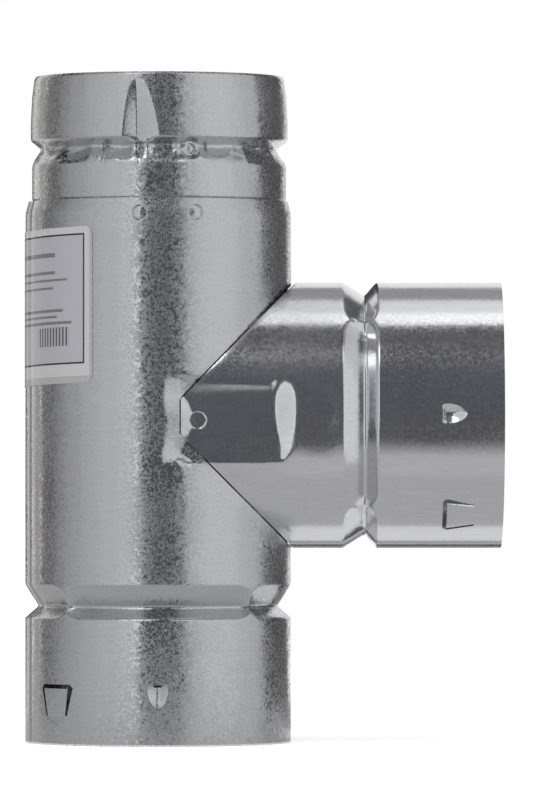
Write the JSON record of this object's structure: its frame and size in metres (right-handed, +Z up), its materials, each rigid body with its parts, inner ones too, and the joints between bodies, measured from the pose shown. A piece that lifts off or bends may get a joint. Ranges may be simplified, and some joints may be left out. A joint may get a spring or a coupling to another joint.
{
  "type": "double-wall gas vent tee",
  "caption": "Double-wall vent tee: a galvanised run with a male top collar and a female foot, a mitred side branch with a female end, and an aluminium liner inside.",
  "frame": {"origin": "on the run's axis, in the plane of its lower rim", "axes": "+Z up along the run, +X along the branch, -Y is the front"},
  "size_m": [0.16, 0.0888, 0.2238],
  "materials": {
    "galvanised_run": "galvanised, fine spangle",
    "galvanised_collar": "galvanised, fine spangle",
    "galvanised_branch": "galvanised, smooth",
    "aluminium_liner": "mill finish",
    "paper_label": "matt printed paper"
  },
  "bodies": {
    "root": {"outer_body": "galvanised_run", "top_collar": "galvanised_collar", "branch_boot": "galvanised_branch", "liner_body": "aluminium_liner", "liner_branch": "aluminium_liner", "label": "paper_label"}
  },
  "joints": []
}
